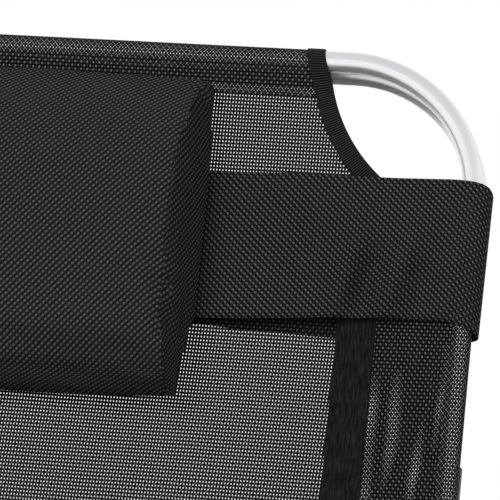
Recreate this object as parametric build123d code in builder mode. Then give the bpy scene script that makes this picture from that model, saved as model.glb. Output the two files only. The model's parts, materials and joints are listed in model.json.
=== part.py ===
"""A folding sun lounger: tube frames, mesh sling, three folding legs, a head cushion.

Millimetres, +Z up. +Y points to the head end, X runs across the lounger.
The backrest is built where it stands when it is propped up at recline_angle.
"""

import os
from math import acos, atan2, cos, hypot, radians, sin, tan

from build123d import *

# Tubes and the two sections
tube_diameter = 16
tube_wall = 1.5
frame_width = 682           # between the centre-lines of the side tubes
corner_radius = 103         # centre-line of every bend
back_length = 700           # hinge pin to the head tube
seat_length = 1200          # hinge pin to the foot tube
recline_angle = 60          # the backrest as it is stored
pin_height = 22             # hinge pin above the plane of the tubes
tube_start = 42             # hinge pin to the end of each side tube

# Folding legs
leg_length = 330            # leg pivot to the middle of the ground bar
leg_lean = 10               # degrees past square, against the stop
leg_drop = 36               # leg pivot below the side tube
leg_inset = 12              # leg pivot inside the side tube
leg_flare = 4               # ground bar's corners outside the side tubes
leg_end = 9                 # leg tube past its pivot
mid_leg_at = 110            # hinge pin to the middle leg's pivot
foot_leg_from_end = 180     # foot tube to the foot leg's pivot
pad_length = 60
pad_wall = 3
pad_sole_width = 14
pad_sole = 12               # ground bar's middle to the sole
pad_margin = 37             # pad to the ground bar's bend

# Leg brackets and their rivets
saddle_length = 52
saddle_wall = 5
saddle_width = 16.8
saddle_top = 4              # saddle's upper edge below the middle of the tube
cheek_thickness = 3
cheek_length = 30
cheek_below = 20            # cheeks below the leg pivot
cheek_room = 2.4            # between a cheek and the leg tube
web_thickness = 4
stop_thickness = 3
stop_length = 6
stop_room = 0.3             # between the standing leg and its stop
leg_rivet_radius = 3
rivet_head = 2
rivet_head_radius = 5.5
saddle_rivet_radius = 2
saddle_rivet_spacing = 40
saddle_rivet_head_radius = 3.8
bulb_radius = 2.8
bulb_length = 2
bulb_lift = 1               # bulb clear of the bore's round wall

# Recline hinge
disc_radius = 28
disc_thickness = 8
collar_length = 10
spigot_length = 32
hinge_pin_radius = 4
hinge_head_radius = 7
hinge_head = 3
cap_radius = 13
cap_thickness = 2
nut_thickness = 4
wheel_room = 1
wheel_radius = 17
wheel_thickness = 3.4
wheel_square = 12
notch_radius = 2.5
notch_ring = 17.5
notch_step = 15             # degrees between the backrest's positions
notches_flatter = 4         # positions below the stored one
notches_steeper = 1
fold_over = 110             # degrees from the stored position to folded over the seat
nose_radius = 2.2
leaf_thickness = 1
leaf_length = 22
leaf_lift = 2.5             # room for the leaf to ride over a tooth
crossbar_drop = 27          # cross bar below the plane of the tubes
crossbar_spigot = 26
hinge_rivet_radius = 2
hinge_rivet_head = 1.2
hinge_rivet_head_radius = 3.6

# Mesh sling
cloth = 0.8
sleeve_room = 0.3           # between a sleeve and its tube
seam_gap = 0.04             # between the two layers where they meet at a seam
sleeve_pocket = 64          # side tube to the seam that closes its sleeve
tape_width = 30
tape_thickness = 0.8
hem_pocket = 24             # end tube to the seam that closes the hem
hem_flange = 7
panel_start = 62            # hinge pin to the panels' edges
sleeve_start = 78           # hinge pin to the side sleeves
strip_radius = 60           # bend of the cloth that crosses the hinge
cutout_radius = 133         # bite that leaves each corner of the frame bare
cutout_outside = 12         # its centre outside the corner, each way
binding_width = 10
binding_cover = 0.8

# Head cushion and its strap
cushion_width = 280
cushion_height = 252
cushion_thickness = 62
cushion_below_head = 25     # head tube to the cushion's upper edge
cushion_corner = 26
cushion_draw = 5            # how far each side pulls in between its corners
strap_width = 110
strap_below_head = 93       # head tube to the strap's upper edge
strap_thickness = 1.1
strap_room = 0.4
strap_slack = 2             # extra room behind the frame
strap_side_slack = 3        # extra room beside each side tube

# Fits
running_fit = 0.05
slip_fit = 0.1
face_gap = 0.2
notch_room = 0.6            # between a sleeve's notch and the saddle in it

# Derived sizes
tube_radius = tube_diameter / 2
bore_radius = tube_radius - tube_wall
half_width = frame_width / 2
leg_pivot_half = half_width - leg_inset
leg_bar_half = half_width + leg_flare
pad_spacing = 2 * (leg_bar_half - corner_radius - pad_margin) - pad_length
foot_leg_at = seat_length - foot_leg_from_end
seat_height = leg_length * cos(radians(leg_lean)) + pad_sole + leg_drop
pin_z = seat_height + pin_height
sleeve_inner = tube_radius + sleeve_room
sleeve_outer = sleeve_inner + cloth
panel_half = half_width - sleeve_pocket - tape_width
hem_depth = hem_pocket + hem_flange
head_leg_at = back_length - leg_length
pad_radius = tube_radius + slip_fit + pad_wall
strap_inner = sleeve_outer + strap_room
strap_outer = strap_inner + strap_thickness
spigot_radius = bore_radius - slip_fit
stop_offset = tube_radius + stop_room + stop_thickness / 2
disc_middle = (face_gap + disc_thickness) / 2
disc_face = face_gap / 2 + disc_thickness
wheel_middle = face_gap / 2 + face_gap + wheel_thickness / 2

# The box at rest is centred on the origin: the foot hem at one end, the folded leg's pads at the other
recline = radians(recline_angle)
lean = radians(leg_lean)
foot_reach = seat_length + sleeve_outer
pad_reach = pad_sole * cos(recline + lean) + pad_sole_width / 2 * sin(recline + lean)
head_reach = (
    back_length * cos(recline) + (pin_height + leg_drop) * sin(recline) + max(pad_radius, pad_reach)
)
pin_y = (foot_reach - head_reach) / 2

# Each section has a plane at its hinge pin and one through its tubes, with y running away from the hinge
pin = (0, pin_y, pin_z)
back_pin = Plane(pin, (1, 0, 0), (0, -sin(recline), cos(recline)))
seat_pin = Plane(pin, (-1, 0, 0), (0, 0, 1))
back_tubes = back_pin.offset(-pin_height)
seat_tubes = seat_pin.offset(-pin_height)


def inside(section, origin, x_dir, z_dir):
    """A plane given in the axes of one section of the lounger."""
    return Plane(section.location * Plane(origin, x_dir, z_dir).location)


def side_name(section, side):
    """Left is -X and right is +X, whichever way the section's own axes run."""
    return "right" if side * section.x_dir.X > 0 else "left"


def save(part, name):
    part.label = name
    export_step(part, f"parts/{name}.step")


os.makedirs("parts", exist_ok=True)


# Bent tubes

def bent_tube(points):
    """A hollow tube bent along points in its own plane."""
    with BuildPart() as tube:
        with BuildLine() as path:
            FilletPolyline(*points, radius=corner_radius)
        with BuildSketch(Plane(path.line @ 0, z_dir=path.line % 0)):
            Circle(tube_radius)
            Circle(bore_radius, mode=Mode.SUBTRACT)
        sweep()
    return tube.part


def frame_tube(section, length, bracket_places):
    """A U-shaped frame, drilled for its hinge spigots and its leg brackets."""
    corner = (half_width, length)
    end = (half_width, tube_start)
    route = [(-end[0], end[1]), (-corner[0], corner[1]), corner, end]
    with BuildPart(section) as frame:
        add(bent_tube(route))
        for side in (-1, 1):
            with Locations((side * half_width, tube_start + spigot_length / 2, 0)):
                Cylinder(hinge_rivet_radius, 2 * tube_diameter, rotation=(0, 90, 0), mode=Mode.SUBTRACT)
            for place in bracket_places:
                for way in (-1, 1):
                    rivet_at = place + way * saddle_rivet_spacing / 2
                    with Locations((side * half_width, rivet_at, -tube_radius)):
                        Cylinder(saddle_rivet_radius, 3 * tube_wall, mode=Mode.SUBTRACT)
    return frame.part


save(frame_tube(back_tubes, back_length, [head_leg_at]), "back_frame_tube")
save(frame_tube(seat_tubes, seat_length, [mid_leg_at, foot_leg_at]), "seat_frame_tube")


# Folding legs: each plane has its origin between the pivots and y running to the ground bar

legs = {
    "head_leg": (
        back_tubes, head_leg_at, 1,
        inside(back_tubes, (0, head_leg_at, -leg_drop), (1, 0, 0), (0, 0, 1)),
    ),
    "mid_leg": (
        seat_tubes, mid_leg_at, 1,
        inside(seat_tubes, (0, mid_leg_at, -leg_drop), (1, 0, 0), (0, cos(lean), -sin(lean))),
    ),
    "foot_leg": (
        seat_tubes, foot_leg_at, -1,
        inside(seat_tubes, (0, foot_leg_at, -leg_drop), (-1, 0, 0), (0, -cos(lean), -sin(lean))),
    ),
}


def leg_tube(plane):
    """The U of a leg: its arms close in a little from the ground bar to the pivots."""
    splay = atan2(leg_bar_half - leg_pivot_half, leg_length)
    end_half = leg_pivot_half - leg_end * sin(splay)
    end_at = -leg_end * cos(splay)
    corner = (leg_bar_half, leg_length)
    route = [(-end_half, end_at), (-corner[0], corner[1]), corner, (end_half, end_at)]
    with BuildPart(plane) as leg:
        add(bent_tube(route))
        Cylinder(leg_rivet_radius + running_fit, 2 * half_width, rotation=(0, 90, 0), mode=Mode.SUBTRACT)
    return leg.part


def leg_pad(plane, side):
    """A sleeve on the ground bar with a flat sole that lies level when the leg stands."""
    middle = (side * pad_spacing / 2, leg_length, 0)
    with BuildPart() as pad:
        with BuildSketch(inside(plane, middle, (0, -sin(lean), cos(lean)), (1, 0, 0))):
            Circle(pad_radius)
            with Locations((0, -pad_sole / 2)):
                Rectangle(pad_sole_width, pad_sole)
            Circle(tube_radius + slip_fit, mode=Mode.SUBTRACT)
        extrude(amount=pad_length / 2, both=True)
    return pad.part


def leg_bracket(section, side, place, fold):
    """A saddle under the side tube, with two cheeks for the leg and a stop that it leans on."""
    web_top = tube_radius + saddle_wall - web_thickness
    web_low = tube_radius + saddle_wall
    cheek_offset = tube_radius + cheek_room + cheek_thickness / 2
    cheek_height = leg_drop + cheek_below - web_top
    cheek_span = 2 * cheek_offset + cheek_thickness
    with BuildPart(section) as bracket:
        with Locations((side * half_width, place, -(web_low + saddle_top) / 2)):
            Box(saddle_width, saddle_length, web_low - saddle_top)
        with Locations((side * half_width, place, 0)):
            Cylinder(tube_radius + slip_fit, saddle_length, rotation=(90, 0, 0), mode=Mode.SUBTRACT)
        with Locations((side * leg_pivot_half, place, -web_top - web_thickness / 2)):
            Box(cheek_span, cheek_length, web_thickness)
        for way in (-1, 1):
            cheek_x = side * leg_pivot_half + way * cheek_offset
            with Locations((cheek_x, place, -web_top - cheek_height / 2)):
                Box(cheek_thickness, cheek_length, cheek_height)
        with BuildSketch(inside(section, (side * leg_pivot_half, place, -leg_drop), (0, 1, 0), (1, 0, 0))):
            stop_at = (
                -fold * (sin(lean) * (cheek_below - stop_length / 2) + cos(lean) * stop_offset),
                -cos(lean) * (cheek_below - stop_length / 2) + sin(lean) * stop_offset,
            )
            with Locations(Location(stop_at, -fold * leg_lean)):
                Rectangle(stop_thickness, stop_length)
        extrude(amount=cheek_offset, both=True)
        with Locations((side * leg_pivot_half, place, -leg_drop)):
            Cylinder(leg_rivet_radius, 2 * cheek_span, rotation=(0, 90, 0), mode=Mode.SUBTRACT)
        for way in (-1, 1):
            with Locations((side * half_width, place + way * saddle_rivet_spacing / 2, -web_low / 2)):
                Cylinder(saddle_rivet_radius, 2 * web_low, mode=Mode.SUBTRACT)
    return bracket.part


def leg_rivets(section, place):
    """The pair of rivets that a leg swings on."""
    grip = 2 * (tube_radius + cheek_room + cheek_thickness)
    with BuildPart(section) as rivets:
        for side in (-1, 1):
            with Locations((side * leg_pivot_half, place, -leg_drop)):
                Cylinder(leg_rivet_radius, grip + 2 * rivet_head, rotation=(0, 90, 0))
            for way in (-1, 1):
                head_x = side * leg_pivot_half + way * (grip + rivet_head) / 2
                with Locations((head_x, place, -leg_drop)):
                    Cylinder(rivet_head_radius, rivet_head, rotation=(0, 90, 0))
    return rivets.part


def saddle_rivets(section, place):
    """Blind rivets up through a leg's saddles into the side tubes."""
    grip = saddle_wall + tube_wall + bulb_lift
    with BuildPart(section) as rivets:
        for side in (-1, 1):
            for way in (-1, 1):
                at = (side * half_width, place + way * saddle_rivet_spacing / 2)
                with Locations((*at, -tube_radius - saddle_wall + grip / 2)):
                    Cylinder(saddle_rivet_radius, grip)
                with Locations((*at, -tube_radius - saddle_wall - rivet_head / 2)):
                    Cylinder(saddle_rivet_head_radius, rivet_head)
                with Locations((*at, -tube_radius - saddle_wall + grip + bulb_length / 2)):
                    Cylinder(bulb_radius, bulb_length)
    return rivets.part


for name, (section, place, fold, plane) in legs.items():
    save(leg_tube(plane), f"{name}_tube")
    save(leg_rivets(section, place), f"{name}_rivets")
    save(saddle_rivets(section, place), f"{name}_saddle_rivets")
    for side in (-1, 1):
        save(leg_pad(plane, side), f"{name}_pad_{side_name(plane, side)}")
        save(leg_bracket(section, side, place, fold), f"{name}_bracket_{side_name(section, side)}")


# Recline hinge, built in the planes at the pin: offsets across run outward from the side tube

collar_at = tube_start - collar_length / 2
crossbar_half = half_width - tube_radius - slip_fit
crossbar_rivet_at = half_width - tube_radius - crossbar_spigot / 2


def across(side, offset, y=0, z=0):
    """A place beside one side tube, given outward from it."""
    return Locations((side * (half_width + offset), y, z))


def hinge_half(section, side, out):
    """A moulded disc with an arm, a spigot for the side tube and one for the cross bar."""
    hanger = crossbar_drop + tube_radius
    pocket = wheel_thickness + 2 * face_gap
    with BuildPart(section) as half:
        with across(side, out * disc_middle):
            Cylinder(disc_radius, disc_thickness, rotation=(0, 90, 0))
        with across(side, out * disc_middle, tube_start / 2, -pin_height):
            Box(disc_thickness, tube_start, tube_diameter)
        with across(side, 0, collar_at, -pin_height):
            Cylinder(tube_radius, collar_length, rotation=(90, 0, 0))
        with across(side, 0, tube_start + spigot_length / 2, -pin_height):
            Cylinder(spigot_radius, spigot_length, rotation=(90, 0, 0))
        with across(side, 0, collar_at, -pin_height - hanger / 2):
            Box(tube_diameter, collar_length, hanger)
        with across(side, -tube_radius - crossbar_spigot / 2, collar_at, -pin_height - crossbar_drop):
            Cylinder(spigot_radius, crossbar_spigot, rotation=(0, 90, 0))
        if out < 0:
            with across(side, (wheel_thickness + face_gap) / 2):
                Box(pocket, wheel_square, wheel_square)
        else:
            with across(side, wheel_middle):
                Cylinder(wheel_radius + wheel_room, pocket, rotation=(0, 90, 0), mode=Mode.SUBTRACT)
            leaf_room = nose_radius + leaf_thickness + leaf_lift
            with across(side, wheel_middle, 0, notch_ring + leaf_room / 2):
                Box(pocket, leaf_length + 2 * slip_fit, leaf_room, mode=Mode.SUBTRACT)
        with across(side, 0):
            Cylinder(hinge_pin_radius + running_fit, 4 * disc_face, rotation=(0, 90, 0), mode=Mode.SUBTRACT)
        with across(side, 0, tube_start + spigot_length / 2, -pin_height):
            Cylinder(hinge_rivet_radius, tube_diameter, rotation=(0, 90, 0), mode=Mode.SUBTRACT)
        with Locations((side * crossbar_rivet_at, collar_at, -pin_height - crossbar_drop)):
            Cylinder(hinge_rivet_radius, tube_diameter, rotation=(90, 0, 0), mode=Mode.SUBTRACT)
    return half.part


def cross_bar(section):
    """A straight tube that keeps the two hinge halves of one section apart."""
    with BuildPart(section) as bar:
        with Locations((0, collar_at, -pin_height - crossbar_drop)):
            Cylinder(tube_radius, 2 * crossbar_half, rotation=(0, 90, 0))
            Cylinder(bore_radius, 2 * crossbar_half, rotation=(0, 90, 0), mode=Mode.SUBTRACT)
        for side in (-1, 1):
            with Locations((side * crossbar_rivet_at, collar_at, -pin_height - crossbar_drop)):
                Cylinder(hinge_rivet_radius, tube_diameter, rotation=(90, 0, 0), mode=Mode.SUBTRACT)
    return bar.part


def hinge_rivets(section):
    """Cross rivets that hold the spigots in the side tubes and in the cross bar."""
    shank = tube_diameter + 2 * hinge_rivet_head
    with BuildPart(section) as rivets:
        for side in (-1, 1):
            joints = [
                (side * half_width, tube_start + spigot_length / 2, -pin_height, (0, 90, 0)),
                (side * crossbar_rivet_at, collar_at, -pin_height - crossbar_drop, (90, 0, 0)),
            ]
            for x, y, z, turn in joints:
                with Locations(Location((x, y, z), turn)):
                    Cylinder(hinge_rivet_radius, shank)
                    for way in (-1, 1):
                        with Locations((0, 0, way * (tube_diameter + hinge_rivet_head) / 2)):
                            Cylinder(hinge_rivet_head_radius, hinge_rivet_head)
    return rivets.part


def notch_wheel(side):
    """A steel wheel on the backrest's square boss, with a notch for each position."""
    with BuildPart(back_pin) as wheel:
        with across(side, wheel_middle):
            Cylinder(wheel_radius, wheel_thickness, rotation=(0, 90, 0))
            square = wheel_square + 2 * slip_fit
            Box(wheel_thickness, square, square, mode=Mode.SUBTRACT)
        positions = [step * notch_step for step in range(-notches_steeper, notches_flatter + 1)]
        for position in positions + [-fold_over]:
            turn = radians(90 - recline_angle + position)
            with across(side, wheel_middle, notch_ring * cos(turn), notch_ring * sin(turn)):
                Cylinder(notch_radius, wheel_thickness, rotation=(0, 90, 0), mode=Mode.SUBTRACT)
    return wheel.part


def click_spring(side):
    """A leaf spring whose round nose drops into the wheel's notches."""
    with BuildPart(seat_pin) as spring:
        with across(side, wheel_middle, 0, notch_ring):
            Cylinder(nose_radius, wheel_thickness, rotation=(0, 90, 0))
        with across(side, wheel_middle, 0, notch_ring + nose_radius / 2):
            Box(wheel_thickness, 2 * nose_radius, nose_radius)
        with across(side, wheel_middle, 0, notch_ring + nose_radius + leaf_thickness / 2):
            Box(wheel_thickness, leaf_length, leaf_thickness)
    return spring.part


def hinge_bolt(side):
    """The hinge pin, with its head outside and its threaded end inside."""
    shank = 2 * disc_face + nut_thickness
    with BuildPart(seat_pin) as bolt:
        with across(side, disc_face - shank / 2):
            Cylinder(hinge_pin_radius, shank, rotation=(0, 90, 0))
        with across(side, disc_face + hinge_head / 2):
            Cylinder(hinge_head_radius, hinge_head, rotation=(0, 90, 0))
    return bolt.part


def hinge_nut(side):
    nut_plane = inside(
        seat_pin, (side * (half_width - disc_face - nut_thickness), 0, 0), (0, 1, 0), (1, 0, 0)
    )
    with BuildPart() as nut:
        with BuildSketch(nut_plane):
            RegularPolygon(hinge_head_radius, 6)
            Circle(hinge_pin_radius, mode=Mode.SUBTRACT)
        extrude(amount=side * nut_thickness)
    return nut.part


def hinge_cap(side):
    """A round cap over the bolt's head."""
    depth = hinge_head + face_gap + cap_thickness
    with BuildPart(seat_pin) as cap:
        with across(side, disc_face + depth / 2):
            Cylinder(cap_radius, depth, rotation=(0, 90, 0))
        fillet(cap.edges().group_by(Axis.X)[-1 if side * seat_pin.x_dir.X > 0 else 0], cap_thickness)
        with across(side, disc_face + (hinge_head + face_gap) / 2):
            Cylinder(
                hinge_head_radius + face_gap, hinge_head + face_gap, rotation=(0, 90, 0), mode=Mode.SUBTRACT
            )
    return cap.part


for section, prefix, out in ((back_pin, "back", -1), (seat_pin, "seat", 1)):
    save(cross_bar(section), f"{prefix}_cross_bar")
    save(hinge_rivets(section), f"{prefix}_hinge_rivets")
    for side in (-1, 1):
        save(hinge_half(section, side, out), f"{prefix}_hinge_half_{side_name(section, side)}")

for side in (-1, 1):
    save(notch_wheel(side), f"notch_wheel_{side_name(back_pin, side)}")
    save(click_spring(side), f"click_spring_{side_name(seat_pin, side)}")
    save(hinge_bolt(side), f"hinge_bolt_{side_name(seat_pin, side)}")
    save(hinge_nut(side), f"hinge_nut_{side_name(seat_pin, side)}")
    save(hinge_cap(side), f"hinge_cap_{side_name(seat_pin, side)}")


# Mesh sling, built in the planes through the tubes

def teardrop(pocket, flange):
    """A sleeve's section: cloth round the tube at the origin, closed by a seam at +x."""
    def lobe(radius, reach, seam, mode):
        turn = atan2(seam, reach) + acos(radius / hypot(reach, seam))
        touch = (radius * cos(turn), radius * sin(turn))
        Circle(radius, mode=mode)
        Polygon(touch, (reach, seam), (reach, -seam), (touch[0], -touch[1]), align=None, mode=mode)

    lobe(sleeve_outer, pocket, cloth, Mode.ADD)
    with Locations((pocket + flange / 2, 0)):
        Rectangle(flange, 2 * cloth)
    lobe(sleeve_inner, pocket - cloth, seam_gap, Mode.SUBTRACT)


def cut_corners(length, radius):
    """The round bites that leave the frame's corners bare."""
    for side in (-1, 1):
        with Locations((side * (half_width + cutout_outside), length + cutout_outside, 0)):
            Cylinder(radius, 4 * tube_diameter, mode=Mode.SUBTRACT)


def side_sleeve(section, length, side, bracket_places):
    start = inside(section, (side * half_width, sleeve_start, 0), (-side, 0, 0), (0, side, 0))
    notch_low = tube_radius + saddle_wall + notch_room
    notch_high = saddle_top - notch_room
    with BuildPart(section) as sleeve:
        with BuildSketch(start):
            teardrop(sleeve_pocket, tape_width)
        extrude(amount=side * (length - sleeve_start))
        cut_corners(length, cutout_radius)
        for place in bracket_places:
            with Locations((side * half_width, place, -(notch_low + notch_high) / 2)):
                Box(
                    2 * (sleeve_outer + notch_room), saddle_length + 2 * notch_room, notch_low - notch_high,
                    mode=Mode.SUBTRACT,
                )
    return sleeve.part


def end_sleeve(section, length):
    middle = inside(section, (0, length, 0), (0, -1, 0), (-1, 0, 0))
    with BuildPart(section) as sleeve:
        with BuildSketch(middle):
            teardrop(hem_pocket, hem_flange)
        extrude(amount=half_width, both=True)
        cut_corners(length, cutout_radius)
    return sleeve.part


def sling_panel(section, length):
    depth = length - hem_depth - panel_start
    with BuildPart(section) as panel:
        with Locations((0, panel_start + depth / 2, 0)):
            Box(2 * panel_half, depth, cloth)
        cut_corners(length, cutout_radius)
    return panel.part


def seam_tape(section, length, side):
    """The tape over the seam between a sleeve and the panel."""
    depth = length - sleeve_start
    seam = side * (panel_half + tape_width / 2)
    with BuildPart(section) as tape:
        with Locations((seam, sleeve_start + depth / 2, cloth + tape_thickness / 2)):
            Box(tape_width, depth, tape_thickness)
        cut_corners(length, cutout_radius + binding_width + face_gap)
    return tape.part


def corner_binding(section, length, side):
    """The tape folded over the edge of a corner's bite, where the cloth lies flat."""
    centre = inside(
        section, (side * (half_width + cutout_outside), length + cutout_outside, 0), (1, 0, 0), (0, 0, 1)
    )
    near = sleeve_pocket + cutout_outside + face_gap
    across_flat = cutout_radius
    down = hem_depth + cutout_outside + face_gap
    with BuildPart() as binding:
        with BuildSketch(centre):
            Circle(cutout_radius + binding_width)
            Circle(cutout_radius - binding_cover, mode=Mode.SUBTRACT)
            with Locations((-side * (near + across_flat / 2), -down - across_flat / 2)):
                Rectangle(across_flat, across_flat, mode=Mode.INTERSECT)
        extrude(amount=cloth + binding_cover, both=True)
        with BuildSketch(centre):
            Circle(cutout_radius + 2 * binding_width)
            Circle(cutout_radius, mode=Mode.SUBTRACT)
        extrude(amount=cloth, both=True, mode=Mode.SUBTRACT)
    return binding.part


sections = (
    (back_tubes, back_length, "back", "head", [head_leg_at]),
    (seat_tubes, seat_length, "seat", "foot", [mid_leg_at, foot_leg_at]),
)
for section, length, prefix, end, bracket_places in sections:
    save(sling_panel(section, length), f"{prefix}_sling_panel")
    save(end_sleeve(section, length), f"{end}_end_sleeve")
    for side in (-1, 1):
        name = side_name(section, side)
        save(side_sleeve(section, length, side, bracket_places), f"{prefix}_sleeve_{name}")
        save(seam_tape(section, length, side), f"{prefix}_seam_tape_{name}")
        save(corner_binding(section, length, side), f"{end}_corner_binding_{name}")

# The cloth goes on across the hinge, from panel to panel
bend_at = -pin_height * tan(recline / 2)
strip_route = [
    seat_tubes.from_local_coords(Vector(0, panel_start, 0)),
    seat_tubes.from_local_coords(Vector(0, bend_at, 0)),
    back_tubes.from_local_coords(Vector(0, panel_start, 0)),
]
with BuildPart() as sling_hinge_strip:
    with BuildSketch(Plane.YZ):
        with BuildLine():
            FilletPolyline(*[(point.Y, point.Z) for point in strip_route], radius=strip_radius)
        trace(line_width=cloth)
    extrude(amount=panel_half, both=True)
save(sling_hinge_strip.part, "sling_hinge_strip")


# Head cushion and the strap that loops round the backrest

strap_at = back_length - strap_below_head - strap_width / 2
strap_reach = frame_width + 2 * strap_side_slack
with BuildPart() as pillow_strap:
    with BuildSketch(inside(back_tubes, (0, strap_at, -strap_slack / 2), (1, 0, 0), (0, -1, 0))):
        RectangleRounded(strap_reach + 2 * strap_outer, strap_slack + 2 * strap_outer, strap_outer)
        RectangleRounded(
            strap_reach + 2 * strap_inner, strap_slack + 2 * strap_inner, strap_inner, mode=Mode.SUBTRACT
        )
    extrude(amount=strap_width / 2, both=True)
save(pillow_strap.part, "pillow_strap")


def cushion_outline(plane, inset):
    """A rectangle with round corners whose sides pull in between them."""
    reach = cushion_width / 2 - inset
    rise = cushion_height / 2 - inset
    with BuildSketch(plane) as outline:
        with BuildLine():
            ThreePointArc((-reach, -rise), (0, cushion_draw - rise), (reach, -rise))
            ThreePointArc((reach, -rise), (reach - cushion_draw, 0), (reach, rise))
            ThreePointArc((reach, rise), (0, rise - cushion_draw), (-reach, rise))
            ThreePointArc((-reach, rise), (cushion_draw - reach, 0), (-reach, -rise))
        make_face()
        fillet(outline.vertices(), cushion_corner)
    return outline.sketch.face()


cushion_at = back_length - cushion_below_head - cushion_height / 2
cushion_back = inside(back_tubes, (0, cushion_at, strap_outer + face_gap), (1, 0, 0), (0, 0, 1))
# How full the cushion is, as shares of its thickness, and how far its edge draws in there
fullness = [(0, 16), (0.12, 5), (0.38, 0), (0.66, 5), (0.88, 18), (1, 44)]
with BuildPart() as pillow:
    loft([
        cushion_outline(cushion_back.offset(share * cushion_thickness), inset)
        for share, inset in fullness
    ])
save(pillow.part, "pillow")
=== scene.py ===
# %% [markdown]
# # A folding sun lounger, dressed
# The CAD part already gives every tube, rivet and moulding its place. Blender adds what CAD is
# poor at: open mesh cloth, sewn edges, a stuffed cushion and the finish of each material.
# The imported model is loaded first, as a fixed frame that every new piece is hung on.

# %% Load the frame
import json
from math import acos, asin, atan2, cos, exp, hypot, pi, radians, sin, sqrt, tan

import bmesh
import bpy
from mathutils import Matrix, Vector


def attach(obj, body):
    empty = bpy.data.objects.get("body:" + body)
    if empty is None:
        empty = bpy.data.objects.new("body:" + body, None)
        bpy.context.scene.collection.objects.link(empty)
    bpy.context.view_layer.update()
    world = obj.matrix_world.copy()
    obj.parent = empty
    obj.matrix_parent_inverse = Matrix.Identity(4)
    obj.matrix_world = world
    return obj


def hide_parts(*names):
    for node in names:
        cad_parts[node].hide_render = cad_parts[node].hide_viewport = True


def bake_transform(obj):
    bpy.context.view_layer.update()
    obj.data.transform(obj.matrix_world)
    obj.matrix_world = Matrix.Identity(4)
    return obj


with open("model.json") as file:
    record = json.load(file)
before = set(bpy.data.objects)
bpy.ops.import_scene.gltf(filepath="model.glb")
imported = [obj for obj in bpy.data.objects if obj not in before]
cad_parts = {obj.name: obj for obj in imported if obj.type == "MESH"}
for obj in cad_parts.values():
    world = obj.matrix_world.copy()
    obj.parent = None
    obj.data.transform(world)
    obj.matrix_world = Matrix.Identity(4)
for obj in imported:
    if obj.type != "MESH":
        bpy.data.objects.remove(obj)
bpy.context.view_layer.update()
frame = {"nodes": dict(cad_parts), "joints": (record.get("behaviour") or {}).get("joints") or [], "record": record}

nodes = frame["nodes"]
joints = {joint["name"]: joint for joint in frame["joints"]}

# %% [markdown]
# ## Finding places on the lounger
# The lounger has two flat sections that meet at a hinge pin. It is easiest to think in the plane of
# each section: how far across, how far from the pin, how high above the middle of the tubes.
# Two small functions turn such a place, in millimetres, into Blender's metres.

# %% Places on the backrest and on the seat
mm = 0.001
pin = Vector(joints["recline"]["pos_m"])
pin_height = 22
recline = radians(-joints["recline"]["range_deg"][0])


def back_point(x, y, w):
    """A place on the backrest: across, along it from the pin, and above the middle of its tubes."""
    rise = w - pin_height
    return pin + mm * Vector((
        x, y * cos(recline) - rise * sin(recline), y * sin(recline) + rise * cos(recline)))


def seat_point(x, y, w):
    """The same on the seat, which runs the other way from the pin."""
    return pin + mm * Vector((x, -y, w - pin_height))


print("backrest stands at", round(recline * 180 / pi), "degrees, pin at", [round(v, 3) for v in pin])

# %% [markdown]
# ## The camera
# The picture is a close view of the head end through a long lens, from the front and a little to
# the right. A long lens keeps the rows of the mesh nearly parallel, so the focal length matters as
# much as the place. The camera is not rolled, and looks along one fixed direction.

# %% Camera
camera_place = Vector((0.7185, -1.9571, 1.6979))
camera_direction = Vector((-0.1918, 0.9358, -0.2959))
lens = bpy.data.cameras.new("camera")
lens.sensor_width = 36
lens.lens = 270.09
lens.clip_end = 50
camera = bpy.data.objects.new("camera", lens)
camera.location = camera_place
camera.rotation_euler = camera_direction.to_track_quat("-Z", "Y").to_euler()
bpy.context.scene.collection.objects.link(camera)
bpy.context.scene.camera = camera
print("camera turned", [round(angle * 180 / pi, 2) for angle in camera.rotation_euler])

# %% [markdown]
# ## Writing shaders as sums
# A finish is a small piece of arithmetic on the surface: where a yarn lies, how high it is, how
# light it is. Wiring Math nodes by hand hides that arithmetic, so a value here is wrapped in a class
# whose operators add the nodes. Every other node comes from one method, `add`.

# %% Values and finishes


class Value:
    """One output of a node, with the operators that a finish needs."""

    def __init__(self, finish, socket):
        self.finish = finish
        self.socket = socket

    def math(self, operation, *others):
        return self.finish.add("ShaderNodeMath", {"operation": operation}, [self, *others])

    def __add__(self, other):
        return self.math("ADD", other)

    def __sub__(self, other):
        return self.math("SUBTRACT", other)

    def __mul__(self, other):
        return self.math("MULTIPLY", other)

    def __truediv__(self, other):
        return self.math("DIVIDE", other)

    def __rsub__(self, other):
        return self.finish.add("ShaderNodeMath", {"operation": "SUBTRACT"}, [other, self])

    __radd__ = __add__
    __rmul__ = __mul__

    def ramp(self, low, high):
        """0 up to low, 1 from high, with a soft run between them."""
        return self.finish.add(
            "ShaderNodeMapRange", {"interpolation_type": "SMOOTHSTEP"}, [self, low, high, 0, 1])

    def wave(self):
        """1 at every whole number, 0 halfway between."""
        return (self * (2 * pi)).math("COSINE") * 0.5 + 0.5


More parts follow.
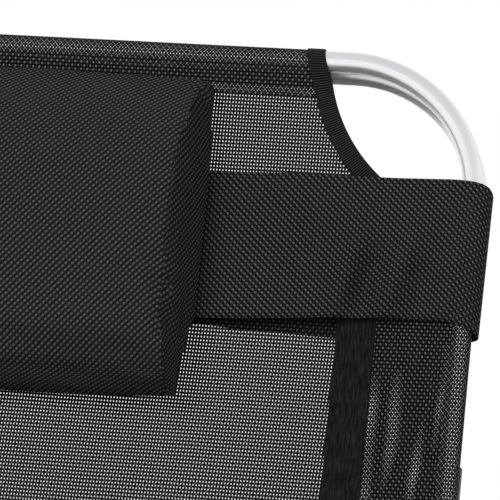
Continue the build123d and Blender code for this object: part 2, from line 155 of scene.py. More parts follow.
class Finish:
    """A material, or the world, under construction round its one shader."""

    def __init__(self, name, owner=None, shader="Principled BSDF", **settings):
        self.material = owner or bpy.data.materials.new(name)
        self.material.use_nodes = True
        self.tree = self.material.node_tree
        self.shader = self.tree.nodes[shader]
        self.set(**settings)

    def put(self, socket, value):
        if isinstance(value, Value):
            self.tree.links.new(value.socket, socket)
        else:
            socket.default_value = value

    def set(self, **values):
        for name, value in values.items():
            self.put(self.shader.inputs[name.replace("_", " ")], value)

    def add(self, kind, settings={}, values=(), out=0, **named):
        """Makes a node. Values go in by order, by number in a dict, or by name."""
        node = self.tree.nodes.new(kind)
        for name, value in settings.items():
            setattr(node, name, value)
        numbered = values if isinstance(values, dict) else dict(enumerate(values))
        by_name = {name.replace("_", " "): value for name, value in named.items()}
        for key, value in {**numbered, **by_name}.items():
            self.put(node.inputs[key], value)
        return Value(self, node.outputs[out])

    def split(self, vector):
        """The three numbers of a vector."""
        first = self.add("ShaderNodeSeparateXYZ", {}, [vector])
        return [Value(self, socket) for socket in first.socket.node.outputs]

    def cloth_place(self):
        return self.split(self.add("ShaderNodeUVMap", {"uv_map": "cloth"}))[:2]

    def object_place(self):
        return self.add("ShaderNodeTexCoord", out="Object")

    def noise(self, place, scale, detail=2.0):
        return self.add("ShaderNodeTexNoise", Vector=place, Scale=scale, Detail=detail)

    def blend(self, share, first, second):
        """A colour between two. A Mix node has sockets 6, 7 and output 2 for colours."""
        return self.add("ShaderNodeMix", {"data_type": "RGBA"}, {0: share, 6: first, 7: second}, out=2)

    def bump(self, height, distance):
        self.set(Normal=self.add("ShaderNodeBump", Height=height, Distance=distance, Strength=1.0))


def grey(level, warmth=0.0):
    return (level * (1 + warmth), level, level * (1 - warmth), 1)


print("shader helpers ready")

# %% [markdown]
# ## Cutting cloth on the flat
# The sling is sewn from flat cloth, so it is modelled the same way. A grid is cut to shape on a
# table, in millimetres, and each point keeps its place on that table as its UV map. Then the
# points are laid on the frame. The weave follows the UV map, so it runs round tubes and
# over folds just as real yarns do, without stretching.

# %% Cloth cutter


def cut_notch(bm, low, high):
    """Takes a rectangle out of flat cloth."""
    for axis in (0, 1):
        normal = Vector((1 - axis, axis, 0))
        for place in (low[axis], high[axis]):
            everything = bm.verts[:] + bm.edges[:] + bm.faces[:]
            bmesh.ops.bisect_plane(bm, geom=everything, plane_co=normal * place, plane_no=normal)
    middles = {face: face.calc_center_median() for face in bm.faces}
    inside = [
        face for face, middle in middles.items()
        if low[0] < middle.x < high[0] and low[1] < middle.y < high[1]]
    bmesh.ops.delete(bm, geom=inside, context="FACES")


def make_piece(name, bm):
    mesh = bpy.data.meshes.new(name)
    bm.to_mesh(mesh)
    bm.free()
    piece = bpy.data.objects.new(name, mesh)
    bpy.context.scene.collection.objects.link(piece)
    return piece


def lay_cloth(name, flat, place, steps, notches=(), weld=0, yarns=None, mirrored=False):
    """Cuts cloth by `flat`, from shares of its grid, and lays it by `place`. Returns it and its area.

    The weave's map is the cut itself, unless `yarns` pulls it askew. `weld` joins points that meet,
    where a band closes on itself or two notches share a cut. A `mirrored` place would turn the
    cloth inside out, so its faces are reversed first.
    """
    bm = bmesh.new()
    chart = bm.loops.layers.uv.new("cloth")
    bmesh.ops.create_grid(bm, x_segments=steps[0], y_segments=steps[1], size=0.5)
    if mirrored:
        bmesh.ops.reverse_faces(bm, faces=bm.faces[:])
    for vert in bm.verts:
        vert.co = (*flat(vert.co.x + 0.5, vert.co.y + 0.5), 0)
    for low, high in notches:
        cut_notch(bm, low, high)
    for face in bm.faces:
        face.smooth = True
        for loop in face.loops:
            place_on_cut = loop.vert.co.xy
            loop[chart].uv = mm * Vector(yarns(*place_on_cut) if yarns else place_on_cut)
    area = sum(face.calc_area() for face in bm.faces) * mm * mm
    for vert in bm.verts:
        vert.co = place(vert.co.x, vert.co.y)
    if weld:
        bmesh.ops.remove_doubles(bm, verts=bm.verts, dist=weld * mm)
    piece = make_piece(name, bm)
    print(f"{name}: {len(piece.data.polygons)} faces, {area:.3f} m2 of cloth")
    return piece, area


def part_way(low, high, share):
    """The value at a share of the way from low to high."""
    return low + (high - low) * share


def soft(low, high, value):
    """0 up to low, 1 from high, with a soft run between them. The two may change places."""
    share = min(1, max(0, (value - low) / (high - low)))
    return share * share * (3 - 2 * share)


def through(table, value):
    """A smooth curve through a table of places and heights."""
    last = len(table) - 2
    i = min(last, max(0, sum(place <= value for place, _ in table) - 1))
    (x0, y0), (x1, y1) = table[i], table[i + 1]
    before, after = table[max(0, i - 1)], table[min(last + 1, i + 2)]
    step = x1 - x0
    slope0 = (y1 - before[1]) / (x1 - before[0]) * step
    slope1 = (after[1] - y0) / (after[0] - x0) * step
    t = min(1, max(0, (value - x0) / step))
    return (
        y0 * (1 + 2 * t) * (1 - t) ** 2 + slope0 * t * (1 - t) ** 2
        + y1 * t * t * (3 - 2 * t) + slope1 * t * t * (t - 1))


print("cloth cutter ready")

# %% [markdown]
# ## The line of a sleeve
# Along each side, and at the head and foot, the cloth goes round the tube and is sewn to itself, so
# its section is a teardrop: flat seam, straight run, a turn round the tube, and back. One
# function follows that line by the length of cloth used, for the wide side sleeves and for the
# narrow hems alike.

# %% Teardrop line
frame_half = 341
sleeve_radius = 8.35
layer = 0.45


def teardrop(pocket, flange):
    """A function from cloth used to (inward of the tube, above it), then the lengths of line and run."""
    turn = atan2(layer, pocket) + acos(sleeve_radius / hypot(pocket, layer))
    touch = Vector((sleeve_radius * cos(turn), sleeve_radius * sin(turn)))
    seam = Vector((pocket, layer))
    run = (touch - seam).length
    whole = 2 * (flange + run + sleeve_radius * (pi - turn))

    def line(used):
        under = used > whole / 2
        used = whole - used if under else used
        if used < flange:
            inward, above = pocket + flange - used, layer
        elif used < flange + run:
            inward, above = seam.lerp(touch, (used - flange) / run)
        else:
            angle = turn + (used - flange - run) / sleeve_radius
            inward, above = sleeve_radius * cos(angle), sleeve_radius * sin(angle)
        return inward, -above if under else above

    return line, whole, run


sleeve_pocket, tape_width = 64, 30
hem_pocket, hem_flange = 24, 5.2
sleeve_line, sleeve_whole, sleeve_run = teardrop(sleeve_pocket, tape_width)
hem_line, hem_whole, hem_run = teardrop(hem_pocket, hem_flange)
panel_half = frame_half - sleeve_pocket - tape_width
hem_draw_in = 4


def hem_lean(used):
    """The hem's ends are drawn in towards the middle where they go over the tube."""
    from_seam = min(used, hem_whole - used) - hem_flange
    return hem_draw_in * soft(0, hem_whole / 2 - hem_flange, from_seam)


print(f"cloth in a side sleeve {sleeve_whole:.1f} mm, in a hem {hem_whole:.1f} mm")

# %% [markdown]
# ## The sling's panels and sleeves
# Each section is a panel between two side sleeves and an end hem. A round bite leaves each corner of
# the frame bare, and every piece of cloth near it ends on the same circle. The leg brackets reach the
# tube through notches in the undersides of the sleeves. The seat runs away from the pin the other
# way than the back, which mirrors its cloth.
#
# Two layers of mesh never line up. The hems' and sleeves' yarns are shifted a little on the map, and
# those of the back panel run askew below the strap.

# %% Sizes of the two sections
bite_radius, bite_outside = 131.2, 12
panel_start, sleeve_start = 62, 78
saddle_half = 26.6
notch_turn, notch_depth = 0.35, 21
sections = {
    "back": dict(
        point=back_point, mirrored=False, body="backrest", length=700, brackets=[370], end="head"),
    "seat": dict(
        point=seat_point, mirrored=True, body="base", length=1200, brackets=[110, 1020], end="foot"),
}


def bite_end(across, length, radius=bite_radius):
    """How far from the pin the cloth reaches, at a distance across, before the bite takes it."""
    inside = radius ** 2 - (frame_half + bite_outside - abs(across)) ** 2
    return length + bite_outside - sqrt(inside) if inside > 0 else length


for section, parts in sections.items():
    print(f"{section}: sleeves end {bite_end(frame_half, parts['length']):.0f} mm from the pin")

# %% Lay the panels, sleeves and hems
row_length = 12
hem_overlap = 3
panel_askew, askew_from, askew_to = 9, 520, 300
hem_shift_across, hem_shift_front, hem_shift_behind = 1.2, 1.4, 0.3
creep_across, creep_along = 0.16, 0.1
ripple_height, ripple_start, ripple_along, ripple_across = 1.2, 9, 37, 21
cloths = {}
for section, parts in sections.items():
    point, length, end = parts["point"], parts["length"], parts["end"]
    hem_start = length - hem_pocket - hem_flange
    under_tape = panel_half + tape_width / 2
    rows = round(length / row_length)

    def panel_flat(share_x, share_y):
        x = part_way(-under_tape, under_tape, share_x)
        return x, part_way(panel_start, min(hem_start + hem_overlap, bite_end(x, length)), share_y)

    def panel_yarns(x, y):
        return x + (panel_askew * soft(askew_from, askew_to, y) if section == "back" else 0), y

    cloths[f"{section}_panel"] = lay_cloth(
        f"{section}_mesh_panel", panel_flat, lambda x, y: point(x, y, 0), (40, rows),
        yarns=panel_yarns, mirrored=parts["mirrored"])

    def hem_flat(share_x, share_y):
        used = share_y * hem_whole
        y = length - hem_line(used)[0]
        bite = sqrt(bite_radius ** 2 - (length + bite_outside - y) ** 2)
        reach = frame_half + bite_outside - bite - hem_lean(used)
        return part_way(-reach, reach, share_x), hem_start + used

    def hem_place(x, y):
        inward, above = hem_line(y - hem_start)
        return point(x, length - inward, above)

    def hem_yarns(x, y):
        in_front = y < hem_start + hem_whole / 2
        return x + hem_shift_across, y + (hem_shift_front if in_front else hem_shift_behind)

    cloths[f"{end}_hem"] = lay_cloth(
        f"{end}_hem_cloth", hem_flat, hem_place, (30, 64), yarns=hem_yarns, mirrored=parts["mirrored"])

    for side, hand in ((-1, "left"), (1, "right")):
        def sleeve_flat(share_x, share_y):
            used = (share_x if side > 0 else 1 - share_x) * sleeve_whole
            x = frame_half - sleeve_line(used)[0]
            return panel_half + used, part_way(sleeve_start, bite_end(x, length), share_y)

        def sleeve_place(x, y):
            inward, above = sleeve_line(x - panel_half)
            return point(side * (frame_half - inward), y, above)

        def sleeve_yarns(x, y):
            past = max(0, x - panel_half - sleeve_whole / 2)
            ripple = ripple_height * soft(0, ripple_start, past)
            wave = sin(y / ripple_along + past / ripple_across)
            return x + creep_across * past, y + creep_along * past + ripple * wave

        under = panel_half + sleeve_whole / 2 + sleeve_radius * notch_turn
        notches = [
            ((under, place - saddle_half), (under + notch_depth, place + saddle_half))
            for place in parts["brackets"]]
        cloths[f"{section}_sleeve_{hand}"] = lay_cloth(
            f"{section}_sleeve_cloth_{hand}", sleeve_flat, sleeve_place, (72, rows), notches,
            weld=0.01, yarns=sleeve_yarns, mirrored=parts["mirrored"])

# %% [markdown]
# ## Seam tape and corner bindings
# A smooth tape covers each long seam, and a ribbed binding is folded over the edge of each bite. The
# binding is one closed ring: along the bite in front, round the mouth of the hem, back along the bite
# behind, and round the mouth of the sleeve. A grid is bent along that ring, with its rows rolled over
# the edge, because sweeping a profile would twist where the cloth turns round the tubes.

# %% Seam tapes
tape_rows = [
    (0, 0.5), (0.4, 1.3), (1.2, 1.6), (8, 1.55), (15, 1.7), (22, 1.55), (28.8, 1.6), (29.6, 1.3),
    (tape_width, 0.5)]
binding_width = 13.5


def tape_flat(section, side):
    length = sections[section]["length"]

    def flat(share_x, share_y):
        across = tape_rows[round(share_x * (len(tape_rows) - 1))][0]
        x = panel_half + (across if side > 0 else tape_width - across)
        end = bite_end(x, length, bite_radius + binding_width)
        return side * x, part_way(sleeve_start, end, share_y)

    return flat


def tape_height(x):
    across = abs(x) - panel_half
    return min(tape_rows, key=lambda row: abs(row[0] - across))[1]


tapes = {}
for section, parts in sections.items():
    for side, hand in ((-1, "left"), (1, "right")):
        tapes[f"{section}_{hand}"], _ = lay_cloth(
            f"{section}_seam_tape_cloth_{hand}", tape_flat(section, side),
            lambda x, y: parts["point"](x, y, tape_height(x)), (len(tape_rows) - 1, 60),
            mirrored=parts["mirrored"])

# %% Corner bindings
binding_rows = [
    (-0.9, -layer), (-0.8, 0.4), (-0.2, 0.95), (2.5, 1.05), (6.5, 1.05), (11, 1.05), (13, 0.95),
    (binding_width, 0.2)]
hem_seam_angle = asin((hem_pocket + bite_outside) / bite_radius)
sleeve_seam_angle = acos((sleeve_pocket + bite_outside) / bite_radius)
bite_arc = bite_radius * (sleeve_seam_angle - hem_seam_angle)
hem_mouth = hem_whole - 2 * hem_flange
sleeve_mouth = sleeve_whole - 2 * tape_width
ring = 2 * bite_arc + hem_mouth + sleeve_mouth


def mouth_point(line, flange, run, whole, used, inset, lean, lift):
    """A place on the outside of a sleeve near its mouth, lifted off the cloth."""
    from_seam = min(used - flange, whole - flange - used)
    shift = lean * inset * max(0, 1 - from_seam / run)
    used += -shift if used < whole / 2 else shift
    step = 0.05
    before, here, after = (Vector(line(used + move)) for move in (-step, 0, step))
    along = (after - before).normalized()
    return here + lift * Vector((along.y, -along.x))


def binding_place(point, side, length):
    centre_x, centre_y = frame_half + bite_outside, length + bite_outside

    def place(along, row):
        inset, lift = binding_rows[round(row)]
        radius = bite_radius + inset
        if along < bite_arc or bite_arc + hem_mouth <= along < ring - sleeve_mouth:
            front = along < bite_arc
            share = along / bite_arc if front else 1 - (along - bite_arc - hem_mouth) / bite_arc
            angle = part_way(sleeve_seam_angle, hem_seam_angle, share)
            x, y = centre_x - radius * cos(angle), centre_y - radius * sin(angle)
            w = (layer + lift) * (1 if front else -1)
        elif along < bite_arc + hem_mouth:
            used = hem_flange + along - bite_arc
            inward, w = mouth_point(
                hem_line, hem_flange, hem_run, hem_whole, used, inset, sin(hem_seam_angle), lift)
            y = length - inward
            x = centre_x - sqrt(radius ** 2 - (centre_y - y) ** 2) - hem_lean(used)
        else:
            used = sleeve_whole - tape_width - (along - (ring - sleeve_mouth))
            inward, w = mouth_point(
                sleeve_line, tape_width, sleeve_run, sleeve_whole, used, inset, cos(sleeve_seam_angle),
                lift)
            x = frame_half - inward
            y = centre_y - sqrt(radius ** 2 - (centre_x - x) ** 2)
        return point(side * x, y, w)

    return place


bindings = {}
for section, parts in sections.items():
    for side, hand in ((-1, "left"), (1, "right")):
        name = f"{parts['end']}_corner_binding_{hand}"
        bindings[name], _ = lay_cloth(
            f"{parts['end']}_binding_tape_{hand}",
            lambda share_x, share_y: (share_x * ring, share_y * (len(binding_rows) - 1)),
            binding_place(parts["point"], side, parts["length"]), (220, len(binding_rows) - 1),
            weld=0.05, mirrored=parts["mirrored"] == (side > 0))

# %% [markdown]
# ## The cloth across the hinge
# Between the two panels the sling runs on as one width of cloth, hanging in a curve under the hinge
# pin. The real cloth bends when the backrest moves; here it is a piece of its own, laid in its curve
# from the seat to the backrest.

# %% Hinge strip
strip_radius = 60
strip_corner = panel_start + pin_height * tan(recline / 2)
strip_straight = strip_corner - strip_radius * tan(recline / 2)
strip_arc = strip_radius * recline
strip_whole = 2 * strip_straight + strip_arc


def strip_place(x, y):
    used = y + strip_whole / 2
    if used < strip_straight:
        return seat_point(x, panel_start - used, 0)
    if used > strip_straight + strip_arc:
        return back_point(x, panel_start - strip_whole + used, 0)
    angle = (used - strip_straight) / strip_radius
    start = seat_point(x, panel_start - strip_straight, 0)
    return start + mm * strip_radius * Vector((0, sin(angle), 1 - cos(angle)))


hinge_strip, strip_area = lay_cloth(
    "hinge_mesh_strip",
    lambda share_x, share_y: (part_way(-under_tape, under_tape, share_x), (share_y - 0.5) * strip_whole),
    strip_place, (40, 40))

# %% [markdown]
# ## The cushion's strap
# A wide band goes right round the backrest and carries the cushion. It is drawn tight, so its front
# run is nearly flat, but behind the tubes it sags a little near the sides. That pulls the lower
# edge into a small hook at each side, with a few soft folds beside it. A cloth simulation would put
# folds where it likes, so these are written as bumps, each with a place, a spread and a height.

# %% Strap
strap_width = 110
strap_front, strap_turn = 10.1, 11.05
strap_overhang = 3.5
strap_run = frame_half + strap_overhang
strap_bend = pi * strap_turn
strap_whole = 4 * strap_run + 2 * strap_bend
side_end = strap_run + strap_bend
lower_edge = [
    (0, 493), (140, 493.2), (251, 500.2), (296, 502.5), (318, 502.8), (336, 501.8), (strap_run, 499.5),
    (strap_run + 14, 494.5), (side_end, 491.5), (side_end + 40, 489), (side_end + 104, 488.7),
    (side_end + 170, 490.5), (side_end + 240, 495), (2 * strap_run + strap_bend, 496)]
upper_edge = [
    (0, 606.5), (141, 607), (230, 609.2), (280, 609.3), (310, 610.2), (330, 610.7), (strap_run, 609.5),
    (strap_run + 11, 606), (strap_run + 18, 601), (side_end, 597.5), (side_end + 200, 599),
    (2 * strap_run + strap_bend, 599)]
strap_folds = [
    (215, 16, -1.2), (252, 8, 6.5), (270, 8.5, -6.6), (292, 8.5, 7.5), (313, 8, -4.2), (333, 8, 3)]
fold_slant, fold_pivot = 26, 0.3
folds_end, folds_start = 0.68, 0.34
edge_folds, edge_share = 0.35, 0.14
edge_pull, pull_start = 1.8, 220


def strap_line(used):
    """Across and above, by the length of band used from the middle of the front to that of the back."""
    if used < strap_run:
        return used, strap_front
    if used < side_end:
        turn = (used - strap_run) / strap_turn
        return strap_run + strap_turn * sin(turn), strap_front - strap_turn * (1 - cos(turn))
    return strap_run + side_end - used, strap_front - 2 * strap_turn


def fold(x, place, spread):
    """A rounded bump, 1 at its place."""
    return exp(-((x - place) / spread) ** 2)


def strap_place(along, rise):
    side = 1 if along < strap_whole / 2 else -1
    used = along if side > 0 else strap_whole - along
    x, w = strap_line(used)
    share = rise / strap_width
    if used < strap_run:
        slant = x - fold_slant * (share - fold_pivot)
        rise_here = sum(height * fold(slant, place, spread) for place, spread, height in strap_folds)
        at_edge = part_way(edge_folds, 1, soft(0, edge_share, share))
        w += rise_here * soft(folds_end, folds_start, share) * at_edge
    x -= edge_pull * (1 - share) * soft(pull_start, strap_run, x)
    y = part_way(through(lower_edge, used), through(upper_edge, used), share)
    return back_point(side * x, y, w)


strap, strap_area = lay_cloth(
    "cushion_strap_band", lambda share_x, share_y: (share_x * strap_whole, share_y * strap_width),
    strap_place, (420, 28), weld=0.05)
thickness = strap.modifiers.new("thickness", "SOLIDIFY")
thickness.thickness = 1.1 * mm
thickness.offset = 0

# %% [markdown]
# ## The head cushion
# The cushion is a stuffed cover with a D-shaped section and flat, slanting ends that meet the front in
# a sharp ridge. A box cut into a grid is bent to that section first, because no amount of blowing
# up makes a flat end. Remeshing gives it even small faces, and then Blender's cloth fills it
# by a little pressure with its back held flat. The movement is capped, so the ridge stays crisp.

# %% Cushion form
cushion_low, cushion_high, cushion_seat = 427, 680, 11.3
fill_room, held_height = 1.5, 3
bow_low, bow_high = 3.5, 4.5
crown_table = [
    (426, 14), (430, 25), (435, 36), (440, 45), (446, 52), (455, 56.5), (470, 60), (491, 62.5),
    (530, 68), (556, 69.5), (583, 68.5), (606, 65), (624, 60.5), (640, 53), (653, 43), (664, 33),
    (672, 25), (681, 17)]
seat_half_table = [
    (424, 131), (438, 133.2), (450, 133.5), (467, 136.5), (477, 138.2), (487, 140.3), (506, 141.8),
    (606, 141.8), (620, 141.3), (638, 140.2), (662, 139.8), (672, 139), (681, 137)]
ridge_half_table = [
    (424, 130), (441, 130), (455, 129.5), (475, 127), (491, 125.4), (530, 124), (556, 123.7),
    (606, 124.7), (640, 127.6), (653, 129.4), (664, 131), (672, 132), (681, 132)]


def crown(y):
    """Height of the unfilled cushion's front over the tubes' plane."""
    return through(crown_table, y) - fill_room


bm = bmesh.new()
bmesh.ops.create_cube(bm, size=2)
bmesh.ops.subdivide_edges(bm, edges=bm.edges[:], cuts=47, use_grid_fill=True)
for vert in bm.verts:
    across, along, up = vert.co
    low, high = cushion_low + bow_low * across ** 2, cushion_high - bow_high * across ** 2
    y = part_way(low, high, (along + 1) / 2)
    share = (up + 1) / 2
    w = part_way(cushion_seat, crown(y), share)
    half = part_way(through(seat_half_table, y), through(ridge_half_table, y), share)
    vert.co = mm * Vector((across * half, y, w))
cushion = make_piece("head_cushion", bm)
remesh = cushion.modifiers.new("even faces", "REMESH")
remesh.mode = "VOXEL"
remesh.voxel_size = 4 * mm
print("cushion starts", [round(size / mm) for size in cushion.dimensions], "mm")

# %% Cushion filling
scene = bpy.context.scene


def apply_modifiers(piece):
    """Keeps a piece's mesh as its modifiers show it."""
    seen = piece.evaluated_get(bpy.context.evaluated_depsgraph_get())
    mesh = bpy.data.meshes.new_from_object(seen)
    piece.modifiers.clear()
    piece.data = mesh


def fill(piece, pressure, cap, frames=20):
    """Blows a closed cover up by pressure, with its back held, and limits how far any point goes."""
    start = [vert.co.copy() for vert in piece.data.vertices]
    held = piece.vertex_groups.new(name="held")
    held.add([i for i, co in enumerate(start) if co.z < (cushion_seat + held_height) * mm], 1, "REPLACE")
    cloth = piece.modifiers.new("filling", "CLOTH")
    cloth.settings.use_pressure = True
    cloth.settings.uniform_pressure_force = pressure
    cloth.settings.vertex_group_mass = "held"
    cloth.settings.tension_stiffness = cloth.settings.compression_stiffness = 40
    cloth.settings.bending_stiffness = 8
    cloth.settings.quality = 6
    cloth.settings.effector_weights.gravity = 0
    cloth.point_cache.frame_end = frames
    for step in range(1, frames + 1):
        scene.frame_set(step)
    apply_modifiers(piece)
    scene.frame_set(1)
    for vert, before in zip(piece.data.vertices, start):
        move = vert.co - before
        vert.co = before + move * min(1, cap * mm / max(move.length, 1e-9))


apply_modifiers(cushion)
fill(cushion, pressure=4, cap=2.5)
smoother = cushion.modifiers.new("smooth", "SUBSURF")
smoother.levels = smoother.render_levels = 1
apply_modifiers(cushion)
print("cushion filled to", [round(size / mm) for size in cushion.dimensions], "mm")

# %% [markdown]
# ### Sewing the cushion
# The cover is sewn from a front piece and two end pieces. Each piece has its own run of the weave, so
# the UV map is cut where the faces turn to the side. The upper corners are tucked in, which leaves a
# short crease in each.

# %% Cushion seams and weave
tuck_y, tuck_w, tuck_slope = 662, 26, 0.9
tuck_depth, tuck_drop, tuck_spread = 3.5, 0.6, 4
tuck_along, tuck_across = (648, 664), (112, 128)
end_start, end_slope, crown_top = 125, 1.03, 70
seat_give = 0.3
front_steps = [cushion_low]
front_lengths = [0.0]
while front_steps[-1] < cushion_high:
    y = front_steps[-1] + 1
    front_lengths.append(front_lengths[-1] + hypot(1, crown(y) - crown(y - 1)))
    front_steps.append(y)


def along_front(y):
    """Length of cloth over the crown, from the middle of the cushion."""
    middle = len(front_steps) // 2
    share = min(len(front_steps) - 1.001, max(0, y - cushion_low))
    step = int(share)
    return part_way(front_lengths[step], front_lengths[step + 1], share - step) - front_lengths[middle]


def tuck(x, y, w):
    """The crease at an upper corner, as a depth."""
    off_line = (y - tuck_y) - tuck_slope * (w - tuck_w)
    in_corner = soft(*tuck_along, y) * soft(*tuck_across, abs(x))
    return tuck_depth * fold(off_line, 0, tuck_spread) * in_corner


bm = bmesh.new()
bm.from_mesh(cushion.data)
bm.normal_update()
chart = bm.loops.layers.uv.new("cloth")
for face in bm.faces:
    face.smooth = True
    end_piece = abs(face.normal.x) > 0.7
    for loop in face.loops:
        x, y, w = loop.vert.co / mm
        if end_piece:
            down_end = end_start + end_slope * (crown_top - w)
            loop[chart].uv = mm * Vector((down_end, y - (cushion_low + cushion_high) / 2))
        else:
            loop[chart].uv = mm * Vector((x, along_front(y)))
for vert in bm.verts:
    x, y, w = vert.co / mm
    sunk = tuck(x, y, w)
    w = max(w - tuck_drop * sunk, cushion_seat - seat_give)
    vert.co = back_point(x - (sunk if x > 0 else -sunk), y, w)
bm.to_mesh(cushion.data)
bm.free()
print("cushion:", len(cushion.data.polygons), "faces")

# %% [markdown]
# ## Cloth finishes
# The sling is a coated polyester mesh: thick black yarns crossing in rows, with a small square hole
# between each four. The yarns' places come from the UV map, divided by the pitch of the weave. A
# hole is where both distances from the middle of a cell are small, and it goes into Alpha, so the
# light behind the lounger really comes through. Where two layers lie over each other, the holes
# drift in and out of line by themselves.
# The glints on the yarns are painted highlights: their crowns are made lighter in the base colour.

# %% Woven cloth
yarn_wander, yarn_lift = 0.2 * mm, 0.3 * mm
full_shine = 0.92


def weave(finish, pitch):
    """Yarn counts across and along the cloth, and the plane they are counted in."""
    u, v = finish.cloth_place()
    plane = finish.add("ShaderNodeCombineXYZ", {}, [u, v, 0.0])
    drift = finish.noise(plane, scale=18, detail=1.0) - 0.5
    across = (u + drift * (2 * yarn_wander)) / pitch[0]
    along = (v - drift * (3 * yarn_wander)) / pitch[1]
    return plane, across, along


def cloth_finish(name, pitch, lean, dark, light, under, hole=None, glint=0.4):
    """A plain weave. Every other crossing gets a painted glint, a lighter base colour, in rows that lean to one
    side or the other.
    """
    finish = Finish(name, Specular_IOR_Level=0.03)
    plane, across, along = weave(finish, pitch)
    rising, falling = (across - along) / 2, (across + along) / 2
    if lean < 0:
        rising, falling = falling, rising
    rows, beads = falling.wave(), rising.wave()
    upper = rows * (1 - abs(lean) + beads * abs(lean))
    lower = (falling + 0.5).wave() * (rising + 0.5).wave()
    glint_patches = finish.noise(plane, scale=9, detail=3.0)
    glint_flecks = finish.noise(plane, scale=600, detail=1.0)
    # Painted highlight: the glints on the yarn crowns are lighter base colour, made uneven in patches and flecks,
    # not lamp light.
    painted_glints = upper.ramp(glint, full_shine) + lower.ramp(glint, full_shine) * under
    painted_glint_share = painted_glints * (0.25 + glint_patches * 0.5 + glint_flecks * 1.1)
    finish.set(Base_Color=finish.blend(painted_glint_share, grey(dark), grey(light)))
    finish.set(Roughness=0.8 - upper * 0.2)
    if hole:
        side = (across.math("FRACT") - 0.5).math("ABSOLUTE") / (hole[0] / 2)
        rise = (along.math("FRACT") - 0.5).math("ABSOLUTE") / (hole[1] / 2)
        corner = side.math("POWER", 4.0) + rise.math("POWER", 4.0)
        finish.set(Alpha=corner.ramp(0.7, 1.3))
    finish.bump(across.wave() * 0.4 + along.wave() * 0.4 + upper * 0.6, yarn_lift)
    return finish.material


mesh_pitch = (2.37 * mm, 2.82 * mm)
sleeve_pitch = (2.2 * mm, 2.78 * mm)
strap_pitch = (2.5 * mm, 2.37 * mm)
cushion_pitch = (2.44 * mm, 2.5 * mm)
# These five are one mesh cloth. Each part has its own ground grey (dark) and painted glint grey (light), set to
# how bright that part looks in its light: lit and shaded copies, not different dyes.
mesh_cloth = cloth_finish(
    "mesh_cloth", mesh_pitch, lean=-0.6, dark=0.0015, light=0.06, under=0.3, hole=(0.32, 0.40))
hem_cloth = cloth_finish(
    "hem_cloth", mesh_pitch, lean=-0.9, dark=0.005, light=0.19, under=0.2, hole=(0.32, 0.34))
sleeve_cloth = cloth_finish(
    "sleeve_cloth", sleeve_pitch, lean=0.75, dark=0.002, light=0.15, under=0.2, hole=(0.35, 0.37))
strap_cloth = cloth_finish(
    "strap_cloth", strap_pitch, lean=0.5, dark=0.0025, light=0.115, under=0.22, glint=0.33)
cushion_cloth = cloth_finish(
    "cushion_cloth", cushion_pitch, lean=-0.65, dark=0.006, light=0.092, under=0.12, glint=0.12)
print("five cloths woven")

# %% [markdown]
# ## Tape, metal and plastic finishes
# The tape is a close plain weave with two rows of stitching. The binding has ribs across it. The tubes
# are drawn aluminium with a satin surface, so their roughness wanders and low, broad dents soften
# the reflections. The mouldings have the fine grain of a matt tool. Tape and binding follow the UV
# map, as cloth does. Metal and plastic have no map, so their patterns read Object coordinates.

# %% Tapes
stitch_row, thread_half, stitch_pitch = 9.5 * mm, 0.55 * mm, 3.2 * mm
grain_pitch = (0.7 * mm, 0.9 * mm)
rib_pitch = 1.7 * mm
tape_finish = Finish("tape_cloth", Roughness=0.7, Specular_IOR_Level=0.1)
u, v = tape_finish.cloth_place()
edge = (u.math("ABSOLUTE") - (panel_half + tape_width / 2) * mm).math("ABSOLUTE")
row = 1 - ((edge - stitch_row).math("ABSOLUTE") / thread_half).ramp(0.7, 1.0)
stitch = row * (v / stitch_pitch).wave().ramp(0.25, 0.4)
grain = (u / grain_pitch[0]).wave() * (v / grain_pitch[1]).wave()
drawn_out = tape_finish.add("ShaderNodeCombineXYZ", {}, [u, v * 0.12, 0.0])
lint = tape_finish.noise(drawn_out, scale=800)
paleness = stitch * 0.3 + lint.ramp(0.35, 0.8)
tape_finish.set(Base_Color=tape_finish.blend(paleness, grey(0.004), grey(0.022)))
tape_finish.bump(grain * 0.2 + stitch * 1.4 - row * 0.8, 0.3 * mm)

binding_finish = Finish("binding_cloth", Roughness=0.65, Specular_IOR_Level=0.1)
u, _ = binding_finish.cloth_place()
ribs = (u / rib_pitch).wave()
# The rib crests are painted lighter and the grooves darker: painted light and shade across the ribs.
binding_finish.set(Base_Color=binding_finish.blend(ribs.ramp(0.3, 0.9), grey(0.002), grey(0.035)))
binding_finish.bump(ribs, 0.35 * mm)
print("tape and binding ready")

# %% Metals and plastics


def metal(name, level, rough, warmth=0.0, metallic=1.0):
    """Satin metal with wandering roughness and low dents."""
    finish = Finish(name, Metallic=metallic)
    place = finish.object_place()
    haze = finish.noise(place, scale=14, detail=4.0)
    dents = finish.noise(place, scale=110, detail=1.0)
    finish.set(Base_Color=finish.blend(haze, grey(level * 0.94, warmth), grey(level * 1.05, warmth)))
    finish.set(Roughness=rough + haze * 0.14 - 0.07)
    finish.bump(dents, 0.03 * mm)
    return finish.material


def plastic(name, level, rough):
    """Matt moulded plastic with a fine grain."""
    finish = Finish(name, Specular_IOR_Level=0.35)
    place = finish.object_place()
    grain = finish.noise(place, scale=1600)
    smear = finish.noise(place, scale=25, detail=3.0)
    finish.set(Base_Color=finish.blend(smear, grey(level * 0.8), grey(level * 1.35)))
    finish.set(Roughness=rough + smear * 0.15)
    finish.bump(grain, 0.05 * mm)
    return finish.material


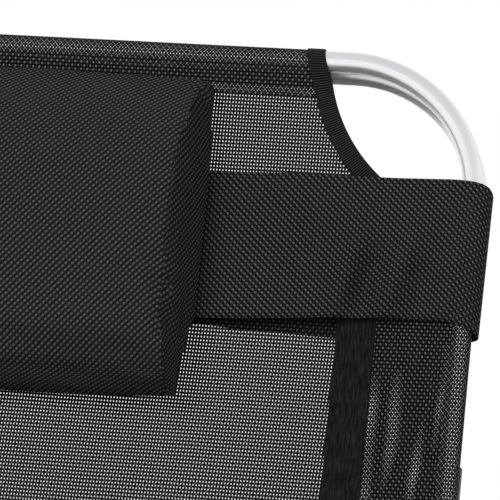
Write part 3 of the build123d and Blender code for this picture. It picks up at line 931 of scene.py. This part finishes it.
finishes = {
    "tube": metal("satin_aluminium", level=0.94, rough=0.34, warmth=-0.006, metallic=0.75),
    "rivet_steel": metal("bright_steel", level=0.62, rough=0.3),
    "spring_steel": metal("plain_steel", level=0.42, rough=0.38),
    "hinge_plastic": plastic("hinge_plastic", level=0.028, rough=0.42),
    "bracket_plastic": plastic("bracket_plastic", level=0.028, rough=0.45),
    "pad_plastic": plastic("pad_plastic", level=0.022, rough=0.5),
}
for subpart in frame["record"]["subparts"]:
    finish = finishes.get(subpart["material_slot"])
    if finish:
        mesh = nodes[subpart["node"]].data
        mesh.materials.clear()
        mesh.materials.append(finish)
print("finishes on the CAD parts:", ", ".join(finishes))

# %% [markdown]
# ## Hanging the pieces on the frame
# Each piece rides on the part of the lounger that carries it, and takes the place of the plain CAD
# solid. The bites curve a hem's ends, so its width is a mean.


def dress(piece, material, replaced, body=None):
    """Gives a piece its material, hides the CAD solids it stands for, and hangs it on what it rides on."""
    piece.data.materials.clear()
    piece.data.materials.append(material)
    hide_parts(*replaced)
    if body:
        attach(piece, body)


for section, parts in sections.items():
    body, length, end = parts["body"], parts["length"], parts["end"]
    for hand in ("left", "right"):
        tape, binding = tapes[f"{section}_{hand}"], bindings[f"{end}_corner_binding_{hand}"]
        dress(tape, tape_finish.material, [f"{section}_seam_tape_{hand}"], body)
        dress(binding, binding_finish.material, [f"{end}_corner_binding_{hand}"], body)
        sleeve, area = cloths[f"{section}_sleeve_{hand}"]
        dress(sleeve, sleeve_cloth, [f"{section}_sleeve_{hand}"], body)
        sleeve_whole * mm
    hem, area = cloths[f"{end}_hem"]
    dress(hem, hem_cloth, [f"{end}_end_sleeve"], body)
    hem_whole * mm
    panel, area = cloths[f"{section}_panel"]
    dress(panel, mesh_cloth, [f"{section}_sling_panel"], body)
    2 * under_tape * mm

dress(hinge_strip, mesh_cloth, ["sling_hinge_strip"])
2 * under_tape * mm
seat_point(0, panel_start, 0)
back_point(0, panel_start, 0)
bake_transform(hinge_strip)
dress(strap, strap_cloth, ["pillow_strap"], "pillow")
dress(cushion, cushion_cloth, ["pillow"], "pillow")
print("hung:", len(cloths), "sling cloths,", len(tapes), "tapes,", len(bindings), "bindings and 3 more")

# %% [markdown]
# ## Light and background
# The background is plain white, so the world shows white to the camera, also through the holes of
# the mesh, and lights the object with a soft grey. Satin tube in an even white would look flat, so
# reflections find white near the horizon, a softer grey above and a darker one below. A large lamp
# above and in front does most of the work, and a round pale floor catches the shadow and fades out
# into the white. It is darker in reflections, which shades the tubes from below.

# %% World
upper_grey, horizon_gain, ground_drop, plain_grey = 0.64, 0.36, 0.45, 0.32
scene.world = bpy.data.worlds.new("studio")
sky = Finish("studio", scene.world, "Background", Color=(1, 1, 1, 1))
ray = {
    kind: sky.add("ShaderNodeLightPath", out=f"Is {kind} Ray")
    for kind in ("Camera", "Transmission", "Glossy")}
height = sky.split(sky.add("ShaderNodeTexCoord", out="Generated"))[2]
horizon = height.ramp(-0.9, -0.45) * (1 - height.ramp(0.4, 0.85))
ground = (0 - height).ramp(0.55, 0.95)
reflected = upper_grey + horizon * horizon_gain - ground * ground_drop
shown = ray["Camera"].math("MAXIMUM", ray["Transmission"])
plain = 1 - shown.math("MAXIMUM", ray["Glossy"])
sky.set(Strength=shown + ray["Glossy"] * reflected + plain * plain_grey)
print("world ready")

# %% Lamps and floor


def lamp(name, place, target, size, power):
    """A round soft lamp that reflections do not show."""
    light = bpy.data.lights.new(name, "AREA")
    light.shape = "DISK"
    light.size = size
    light.energy = power
    body = bpy.data.objects.new(name, light)
    body.location = place
    body.rotation_euler = (Vector(target) - Vector(place)).to_track_quat("-Z", "Y").to_euler()
    body.visible_glossy = False
    scene.collection.objects.link(body)


lamp("key", place=(-1.2, -1.6, 3.2), target=(0.1, 0.5, 0.7), size=1.6, power=76)
lamp("fill", place=(2.4, -1.4, 1.6), target=(0, 0.3, 0.6), size=1.6, power=16)

floor_radius, fade_start, fade_end = 1.9, 1.1, 1.85
floor_level, reflected_drop = 0.8, 0.6
bm = bmesh.new()
bmesh.ops.create_circle(bm, cap_ends=True, segments=96, radius=floor_radius)
floor = make_piece("floor", bm)
floor_finish = Finish("pale_floor", Roughness=0.9)
in_reflection = floor_finish.add("ShaderNodeLightPath", out="Is Glossy Ray")
floor_finish.set(Base_Color=floor_level - in_reflection * reflected_drop)
distance = floor_finish.add(
    "ShaderNodeVectorMath", {"operation": "LENGTH"}, [floor_finish.object_place()], out="Value")
floor_finish.set(Alpha=1 - distance.ramp(fade_start, fade_end))
floor.data.materials.append(floor_finish.material)
scene.view_settings.view_transform = "Standard"
print("two lamps, and a floor of radius", floor_radius, "m")
